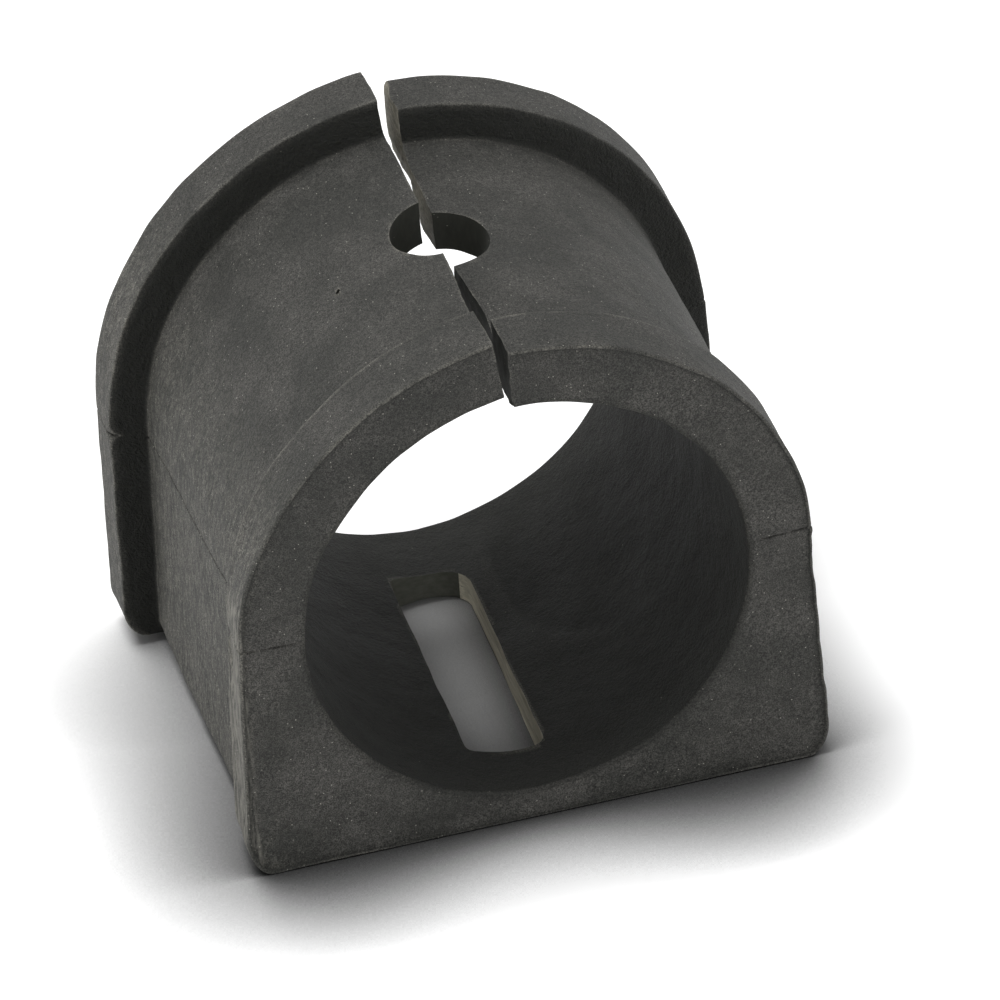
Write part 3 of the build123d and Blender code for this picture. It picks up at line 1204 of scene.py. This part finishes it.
@dataclass(frozen=True)
class TornRubber:
    """The same rubber where it was cut or torn, rougher and browner than the skin.

    Its fresh filler gives a coarse, slightly paler face with ridges along the cut. On the drain slot's right wall the
    pale tone is painted light.
    """

    name: str
    dark: str
    pale: str
    # Width of the ridges in mm, how they are drawn out, and their depth in mm
    ridge: float
    stretch: tuple[float, float, float]
    depth: float = 0.12
    # Place along the bore behind which the pale tone shows, over a few millimetres
    pales_at: float = -100.0
    fade: float = 4.0

    def make(self) -> bpy.types.Material:
        """Build the material.

        Returns:
            The new material.
        """
        material, tree = blank_material(self.name)
        place = add_node(tree, "ShaderNodeTexCoord").outputs["Object"]
        drawn = add_node(tree, "ShaderNodeMapping", {"Scale": self.stretch}, {"Vector": place})
        ridge = add_node(tree, "ShaderNodeTexNoise", {"Scale": 1 / (self.ridge * MM), "Detail": 4.0, "Roughness": 0.7},
                         {"Vector": drawn.outputs[0]})
        tone = add_node(tree, "ShaderNodeMapRange", {"From Min": 0.36, "From Max": 0.66, "To Min": 0.4},
                        {"Value": ridge.outputs["Fac"]})
        axes = add_node(tree, "ShaderNodeSeparateXYZ", links={0: place})
        ends = {"From Min": (self.pales_at - self.fade) * MM, "From Max": (self.pales_at + self.fade) * MM}
        behind = add_node(tree, "ShaderNodeMapRange", ends, {"Value": axes.outputs["Y"]})
        share = add_node(tree, "ShaderNodeMath", TIMES, {0: tone.outputs[0], 1: behind.outputs[0]})
        colour = add_node(tree, "ShaderNodeMix", {**RGBA, 6: linear(self.dark), 7: linear(self.pale)},
                          {0: share.outputs[0]})
        relief = add_node(tree, "ShaderNodeBump", {"Strength": 0.7, "Distance": self.depth * MM},
                          {"Height": ridge.outputs["Fac"]})
        shader = add_node(tree, "ShaderNodeBsdfPrincipled", {"IOR": 1.5, "Specular IOR Level": 0.35, "Roughness": 0.8},
                          {"Base Color": colour.outputs[2], "Normal": relief.outputs[0]})
        add_node(tree, "ShaderNodeOutputMaterial", links={0: shader.outputs[0]})
        return material


@dataclass(frozen=True)
class CrumbRubber:
    """Crumbs of rubber and dust caught on the surface, dull and pale grey."""

    name: str = "caught_rubber_crumb"
    dark: str = "4f4e49"
    pale: str = "807e75"
    patch: float = 1.2

    def make(self) -> bpy.types.Material:
        """Build the material.

        Returns:
            The new material.
        """
        material, tree = blank_material(self.name)
        place = add_node(tree, "ShaderNodeTexCoord").outputs["Object"]
        tone = add_node(tree, "ShaderNodeTexNoise", {"Scale": 1 / (self.patch * MM), "Detail": 2.0}, {"Vector": place})
        colour = add_node(tree, "ShaderNodeMix", {**RGBA, 6: linear(self.dark), 7: linear(self.pale)},
                          {0: tone.outputs["Fac"]})
        shader = add_node(tree, "ShaderNodeBsdfPrincipled", {"IOR": 1.5, "Roughness": 0.85},
                          {"Base Color": colour.outputs[2]})
        add_node(tree, "ShaderNodeOutputMaterial", links={0: shader.outputs[0]})
        return material


def socket_id(group: bpy.types.NodeTree, name: str) -> str:
    """Find the identifier of a node group's input.

    Args:
        group: the node group.
        name: the input's name.

    Returns:
        Its identifier.
    """
    sockets = (item for item in group.interface.items_tree if item.item_type == "SOCKET")
    return next(item.identifier for item in sockets if item.in_out == "INPUT" and item.name == name)


def geometry_group(
    name: str, inputs: dict[str, tuple[str, float | int]]
) -> tuple[bpy.types.NodeTree, bpy.types.Node]:
    """Start a geometry node tree with a geometry input, named inputs and a material input.

    Args:
        name: the tree's name.
        inputs: socket type and default value for each named input.

    Returns:
        The tree and its group input node.
    """
    group = bpy.data.node_groups.new(name, "GeometryNodeTree")
    group.interface.new_socket("Geometry", in_out="INPUT", socket_type="NodeSocketGeometry")
    for label, (kind, value) in inputs.items():
        socket = group.interface.new_socket(label, in_out="INPUT", socket_type=kind)
        socket.default_value = value
    group.interface.new_socket("Material", in_out="INPUT", socket_type="NodeSocketMaterial")
    group.interface.new_socket("Geometry", in_out="OUTPUT", socket_type="NodeSocketGeometry")
    return group, add_node(group, "NodeGroupInput")


def end_group(group: bpy.types.NodeTree, entry: bpy.types.Node, shape: bpy.types.NodeSocket) -> None:
    """Close a geometry node tree with Realize Instances and Set Material.

    Args:
        group: the tree.
        entry: its group input node.
        shape: the geometry that the tree has made.
    """
    real = add_node(group, "GeometryNodeRealizeInstances", links={0: shape})
    links = {"Geometry": real.outputs[0], "Material": entry.outputs["Material"]}
    painted = add_node(group, "GeometryNodeSetMaterial", links=links)
    add_node(group, "NodeGroupOutput", links={0: painted.outputs[0]})


def apply_group(thing: bpy.types.Object, group: bpy.types.NodeTree, finish: bpy.types.Material) -> None:
    """Run a geometry node tree on an object and leave a plain mesh.

    Args:
        thing: the object.
        group: the tree.
        finish: the material that the tree sets.
    """
    modifier = thing.modifiers.new(group.name, "NODES")
    modifier.node_group = group
    modifier[socket_id(group, "Material")] = finish
    freeze(thing)


@dataclass(frozen=True)
class MouldRelief:
    """Shallow relief that the worn mould pressed into the skin, always inwards."""

    depth: float = 0.035
    pitch: float = 1.1
    seed: int = 7
    clear_of_foot: float = 0.3

    def press(self, shell: bpy.types.Object, skin: bpy.types.Material) -> None:
        """Press the relief into the shell and leave a plain mesh.

        Args:
            shell: the object that takes the relief.
            skin: the material of its faces.
        """
        group, entry = geometry_group("mould_relief", {
            "Depth": ("NodeSocketFloat", self.depth * MM),
            "Pitch": ("NodeSocketFloat", self.pitch * MM),
            "Seed": ("NodeSocketInt", self.seed),
            "Foot": ("NodeSocketFloat", self.clear_of_foot * MM),
        })
        place = add_node(group, "GeometryNodeInputPosition")
        often = add_node(group, "ShaderNodeMath", {"operation": "DIVIDE", 0: 1.0}, {1: entry.outputs["Pitch"]})
        noise = add_node(group, "ShaderNodeTexNoise", {"noise_dimensions": "4D", "Detail": 2.0},
                         {"Vector": place.outputs[0], "W": entry.outputs["Seed"], "Scale": often.outputs[0]})
        soft = add_node(group, "GeometryNodeInputNamedAttribute", {"data_type": "FLOAT", "Name": "soft"})
        depth = add_node(group, "ShaderNodeMath", TIMES, {0: noise.outputs["Fac"], 1: entry.outputs["Depth"]})
        depth = add_node(group, "ShaderNodeMath", TIMES, {0: depth.outputs[0], 1: soft.outputs[0]})
        inwards = add_node(group, "ShaderNodeMath", {**TIMES, 1: -1.0}, {0: depth.outputs[0]})
        normal = add_node(group, "GeometryNodeInputNormal")
        push = add_node(group, "ShaderNodeVectorMath", {"operation": "SCALE"},
                        {0: normal.outputs[0], "Scale": inwards.outputs[0]})
        height = add_node(group, "ShaderNodeSeparateXYZ", links={0: place.outputs[0]})
        clear = add_node(group, "FunctionNodeCompare", {"data_type": "FLOAT", "operation": "GREATER_THAN"},
                         {0: height.outputs["Z"], 1: entry.outputs["Foot"]})
        links = {"Geometry": entry.outputs["Geometry"], "Selection": clear.outputs[0], "Offset": push.outputs[0]}
        moved = add_node(group, "GeometryNodeSetPosition", links=links)
        end_group(group, entry, moved.outputs[0])
        apply_group(shell, group, skin)


@dataclass(frozen=True)
class CaughtCrumbs:
    """Rubber crumbs and dust scattered on the skin, most of them along rubbed edges."""

    radius: float = 0.06
    per_square_centimetre: float = 10.0
    edge_gain: float = 34.0
    seed: int = 19
    clear_of_foot: float = 0.6
    flattest: tuple[float, float, float] = (0.6, 0.5, 0.25)
    fullest: tuple[float, float, float] = (1.6, 1.0, 0.5)

    def scatter(self, shell: bpy.types.Object, finish: bpy.types.Material) -> bpy.types.Object:
        """Scatter the crumbs over the shell.

        Args:
            shell: the finished body, with its wear attribute.
            finish: the crumbs' material.

        Returns:
            The crumbs as one plain mesh.
        """
        group, entry = geometry_group("caught_crumbs", {
            "Crumb Radius": ("NodeSocketFloat", self.radius * MM),
            "Density": ("NodeSocketFloat", self.per_square_centimetre * 1e4),
            "Edge Gain": ("NodeSocketFloat", self.edge_gain * 1e4),
            "Seed": ("NodeSocketInt", self.seed),
        })
        wear = add_node(group, "GeometryNodeInputNamedAttribute", {"data_type": "FLOAT", "Name": "wear"})
        bloom = add_node(group, "GeometryNodeInputNamedAttribute", {"data_type": "FLOAT", "Name": "bloom"})
        edges = add_node(group, "ShaderNodeMath", TIMES, {0: wear.outputs[0], 1: entry.outputs["Edge Gain"]})
        open_skin = add_node(group, "ShaderNodeMath", TIMES, {0: bloom.outputs[0], 1: entry.outputs["Density"]})
        density = add_node(group, "ShaderNodeMath", {"operation": "ADD"},
                           {0: edges.outputs[0], 1: open_skin.outputs[0]})
        place = add_node(group, "GeometryNodeInputPosition")
        height = add_node(group, "ShaderNodeSeparateXYZ", links={0: place.outputs[0]})
        above = {"data_type": "FLOAT", "operation": "GREATER_THAN", 1: self.clear_of_foot * MM}
        clear = add_node(group, "FunctionNodeCompare", above, {0: height.outputs["Z"]})
        points = add_node(group, "GeometryNodeDistributePointsOnFaces", links={
            "Mesh": entry.outputs["Geometry"], "Selection": clear.outputs[0],
            "Density": density.outputs[0], "Seed": entry.outputs["Seed"]})
        crumb = add_node(group, "GeometryNodeMeshIcoSphere", {"Subdivisions": 1},
                         {"Radius": entry.outputs["Crumb Radius"]})
        squash = add_node(group, "FunctionNodeRandomValue",
                          {"data_type": "FLOAT_VECTOR", 0: self.flattest, 1: self.fullest},
                          {"Seed": entry.outputs["Seed"]})
        placed = add_node(group, "GeometryNodeInstanceOnPoints", links={
            "Points": points.outputs["Points"], "Instance": crumb.outputs[0],
            "Rotation": points.outputs["Rotation"], "Scale": squash.outputs[0]})
        end_group(group, entry, placed.outputs[0])
        crumbs = bpy.data.objects.new("surface_crumbs", shell.data.copy())
        bpy.context.scene.collection.objects.link(crumbs)
        apply_group(crumbs, group, finish)
        return crumbs


@dataclass(frozen=True)
class SplitBush:
    """The whole bush: its shell, what is cut through it and what lies on it."""

    shell: BushShell = BushShell()
    slit: Slit = Slit()
    hole: LocatingHole = LocatingHole()
    slot: DrainSlot = DrainSlot()
    pinhole: Pinhole = Pinhole()
    relief: MouldRelief = MouldRelief()
    crumbs: CaughtCrumbs = CaughtCrumbs()
    skin: MouldedRubberSkin = MouldedRubberSkin()
    # The slit's walls, ragged, and paler towards the back where the tear is fresh
    torn: TornRubber = TornRubber("torn_black_rubber", "242520", "9c988a", 0.4, (1.0, 0.5, 1.0), pales_at=5.5)
    # The drain slot's right side, with fine ridges along the bore; its pale tone is painted light on this lit wall
    slot_side: TornRubber = TornRubber("striated_slot_rubber_painted_light", "99937e", "eee8d4", 0.42, (1.0, 0.06, 1.0))
    # Its other sides, sheared smooth and dull
    slot_rest: TornRubber = TornRubber("sheared_slot_rubber", "45463e", "5c5d55", 0.5, (0.5, 1.0, 1.0), 0.05)
    # The hole and the pinhole, smooth and nearly black
    bored: TornRubber = TornRubber("bored_black_rubber", "181914", "262721", 0.6, (1.0, 1.0, 0.4), 0.05)
    crumb: CrumbRubber = CrumbRubber()
    # Faces that meet at more than this many degrees have a crisp edge
    crisp_above: float = 38.0

    def build(self) -> list[bpy.types.Object]:
        """Build, cut and dress every piece.

        Returns:
            The finished pieces.
        """
        skin, torn, bored = self.skin.make(), self.torn.make(), self.bored.make()
        slot_walls = (self.slot_rest.make(), self.slot_side.make())
        body, looks = self.shell.build()
        self.relief.press(body, skin)
        for cutter, finishes in (
            (self.slot.cutter(), slot_walls),
            (self.hole.cutter(), (bored,)),
            (self.slit.cutter(), (torn,)),
            (self.pinhole.cutter(), (bored,)),
        ):
            self.cut(body, cutter, finishes)
        self.shade(body, looks)
        crumbs = self.crumbs.scatter(body, self.crumb.make())
        for piece in (body, crumbs):
            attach(piece, "root")
        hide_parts(CAD_NODE)
        return [body, crumbs]

    @staticmethod
    def cut(body: bpy.types.Object, cutter: bpy.types.Object, finishes: tuple[bpy.types.Material, ...]) -> None:
        """Cut one shape out of the body and give the new walls their own finish.

        Args:
            body: the object to cut.
            cutter: the closed shape to take away, which is removed afterwards.
            finishes: the finish of the new walls and, where it differs, that of the
                right-hand one.
        """
        for finish in finishes:
            cutter.data.materials.append(finish)
        if len(finishes) > 1:
            for face in cutter.data.polygons:
                face.material_index = int(face.normal.x > 0.8)
        modifier = body.modifiers.new("cut", "BOOLEAN")
        modifier.operation = "DIFFERENCE"
        modifier.solver = "MANIFOLD"
        modifier.object = cutter
        modifier.material_mode = "TRANSFER"
        freeze(body)
        bpy.data.objects.remove(cutter)

    def shade(self, body: bpy.types.Object, looks: dict[str, np.ndarray]) -> None:
        """Mark bloom and wear on the cut body and keep its edges crisp.

        Args:
            body: the cut body.
            looks: bloom, wear and place of the shell's vertices before the cuts.
        """
        mesh = body.data
        tree = KDTree(len(looks["place"]))
        for number, point in enumerate(looks["place"]):
            tree.insert(point, number)
        tree.balance()
        points = vertex_array(mesh)
        nearest = np.array([tree.find(p)[1] for p in points])
        bloom, wear = looks["bloom"][nearest], looks["wear"][nearest]
        # Where two finishes meet, a cut has left an edge that rubs
        finishes = np.zeros(len(mesh.polygons), np.int32)
        mesh.polygons.foreach_get("material_index", finishes)
        low = np.full(len(points), len(mesh.materials))
        high = np.full(len(points), -1)
        for face, finish in zip(mesh.polygons, finishes):
            corners = list(face.vertices)
            low[corners] = np.minimum(low[corners], finish)
            high[corners] = np.maximum(high[corners], finish)
        wear[(low != high) & (high > 0)] = 1.0
        for name, values in (("bloom", bloom), ("wear", wear)):
            layer = mesh.attributes.new(name, "FLOAT", "POINT")
            layer.data.foreach_set("value", values.astype(np.float32))
        mesh.polygons.foreach_set("use_smooth", [True] * len(mesh.polygons))
        mesh.set_sharp_from_angle(angle=math.radians(self.crisp_above))


@dataclass(frozen=True)
class Lamp:
    """A very soft sun: its irradiance, the way towards it and how wide it looks."""

    name: str
    power: float
    towards: tuple[float, float, float]
    width: float


@dataclass(frozen=True)
class Studio:
    """White board and sky, a high soft key and the camera at the photograph's angle."""

    sky: float = 0.17
    lamps: tuple[Lamp, ...] = (
        Lamp("overhead_key", 2.36, (-0.2, 0.1, 1.0), 28.0),
        Lamp("left_fill", 0.72, (-1.0, -0.08, 0.32), 50.0),
        Lamp("front_fill", 1.25, (0.35, -1.0, 0.15), 60.0),
    )
    # The board: half its width and its depth under the foot in metres, its tone, and its gain where seen
    board_reach: float = 6.0
    board_below: float = 0.00005
    board_tone: float = 0.9
    board_gain: float = 1.32
    # The painted shadow close to the bush: its reach, its depth in front and behind, and its lean
    contact_reach: float = 18.0
    contact_front: float = 3.0
    contact_back: float = 0.7
    contact_lean: tuple[float, float, float] = (0.4, 0.55, 0.75)
    # The camera, whose frame is a thousand pixels wide
    azimuth: float = -13.59
    elevation: float = 34.53
    roll: float = -4.3
    distance: float = 1.5
    pixels: float = 1000.0
    pixels_per_mm: float = 10.32
    target: tuple[float, float, float] = (0.0, 0.2, 27.5)
    target_pixel: tuple[float, float] = (461.3, 449.15)
    sensor: float = 36.0

    def world(self) -> None:
        """White behind the object, an even grey sky on it."""
        world = bpy.data.worlds.new("soft_daylight")
        bpy.context.scene.world = world
        world.use_nodes = True
        tree = world.node_tree
        tree.nodes.clear()
        strength = add_node(tree, "ShaderNodeMapRange", {"To Min": self.sky, "To Max": 1.0},
                            {"Value": seen_directly(tree)})
        light = add_node(tree, "ShaderNodeBackground", {"Color": (1.0, 1.0, 1.0, 1.0)},
                         {"Strength": strength.outputs[0]})
        add_node(tree, "ShaderNodeOutputWorld", links={0: light.outputs[0]})

    def board(self) -> bpy.types.Material:
        """Make the floor's finish: matt white board with a painted shadow close to the bush.

        The painted shadow is strongest in front of the bush and to its left. Only what is
        seen has it and the gain; the light that the board sends back is plain.

        Returns:
            The new material.
        """
        material, tree = blank_material("white_board_with_painted_shadow")
        lean = add_node(tree, "ShaderNodeCombineXYZ", dict(enumerate(self.contact_lean)))
        closed = add_node(tree, "ShaderNodeAmbientOcclusion", {"samples": 8, "Distance": self.contact_reach * MM},
                          {"Normal": lean.outputs[0]})
        place = add_node(tree, "ShaderNodeTexCoord").outputs["Object"]
        spot = add_node(tree, "ShaderNodeSeparateXYZ", links={0: place})
        ends = dict(zip(RANGE_ENDS, (-24.0 * MM, 24.0 * MM, self.contact_front, self.contact_back)))
        depth = add_node(tree, "ShaderNodeMapRange", ends, {"Value": spot.outputs["Y"]})
        # Painted shadow: the seen tone falls with the occlusion near the bush
        painted_shadow = add_node(tree, "ShaderNodeMath", {"operation": "POWER"},
                           {0: closed.outputs["AO"], 1: depth.outputs[0]})
        shown = add_node(tree, "ShaderNodeMath", {**TIMES, 1: self.board_gain}, {0: painted_shadow.outputs[0]})
        tone = add_node(tree, "ShaderNodeMapRange", {"To Min": self.board_tone},
                        {"Value": seen_directly(tree), "To Max": shown.outputs[0]}).outputs[0]
        colour = add_node(tree, "ShaderNodeCombineXYZ", links={0: tone, 1: tone, 2: tone})
        board = add_node(tree, "ShaderNodeBsdfDiffuse", links={"Color": colour.outputs[0]})
        add_node(tree, "ShaderNodeOutputMaterial", links={0: board.outputs[0]})
        return material

    def floor(self) -> None:
        """Lay a large white floor that keeps the object's shadow."""
        mesh = bpy.data.meshes.new("floor")
        reach, z = self.board_reach, -self.board_below
        mesh.from_pydata([(-reach, -reach, z), (reach, -reach, z), (reach, reach, z), (-reach, reach, z)],
                         [], [(0, 1, 2, 3)])
        mesh.materials.append(self.board())
        floor = bpy.data.objects.new("floor", mesh)
        bpy.context.scene.collection.objects.link(floor)

    def light(self) -> None:
        """Hang the lamps."""
        for lamp in self.lamps:
            data = bpy.data.lights.new(lamp.name, "SUN")
            data.energy = lamp.power
            data.angle = math.radians(lamp.width)
            hung = bpy.data.objects.new(lamp.name, data)
            bpy.context.scene.collection.objects.link(hung)
            hung.rotation_mode = "QUATERNION"
            hung.rotation_quaternion = Vector(lamp.towards).to_track_quat("Z", "Y")

    def camera(self) -> None:
        """Set up a long lens, turned and rolled as the photograph was taken."""
        azimuth, elevation, roll = (math.radians(a) for a in (self.azimuth, self.elevation, self.roll))
        level = Vector((math.cos(azimuth), math.sin(azimuth), 0.0))
        back = Vector((math.sin(azimuth) * math.cos(elevation), -math.cos(azimuth) * math.cos(elevation),
                       math.sin(elevation)))
        upright = back.cross(level)
        right = level * math.cos(roll) + upright * math.sin(roll)
        up = upright * math.cos(roll) - level * math.sin(roll)
        # The target is seen left of and above the middle of the frame
        middle, (seen_x, seen_y) = self.pixels / 2, self.target_pixel
        aside = (right * (middle - seen_x) + up * (seen_y - middle)) / self.pixels_per_mm * MM
        aim = Vector(self.target) * MM + aside
        data = bpy.data.cameras.new("camera")
        data.sensor_width = self.sensor
        data.lens = self.sensor * self.pixels_per_mm * self.distance / MM / self.pixels
        data.clip_start, data.clip_end = 0.05, 50.0
        camera = bpy.data.objects.new("camera", data)
        bpy.context.scene.collection.objects.link(camera)
        turn = Matrix((right, up, back)).transposed().to_4x4()
        camera.matrix_world = Matrix.Translation(aim + back * self.distance) @ turn
        bpy.context.scene.camera = camera

    def build(self) -> None:
        """Set up the sky, floor, lamps, camera and view."""
        self.world()
        self.floor()
        self.light()
        self.camera()
        bpy.context.scene.view_settings.view_transform = "Standard"


def main() -> None:
    """Build the bush in its studio and report each piece."""
    logging.basicConfig(level=logging.INFO, format="%(name)s: %(message)s")
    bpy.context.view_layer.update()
    pieces = SplitBush().build()
    for piece in pieces:
        LOG.info("%s: %d faces", piece.name, len(piece.data.polygons))
    Studio().build()


if __name__ == "__main__":
    main()
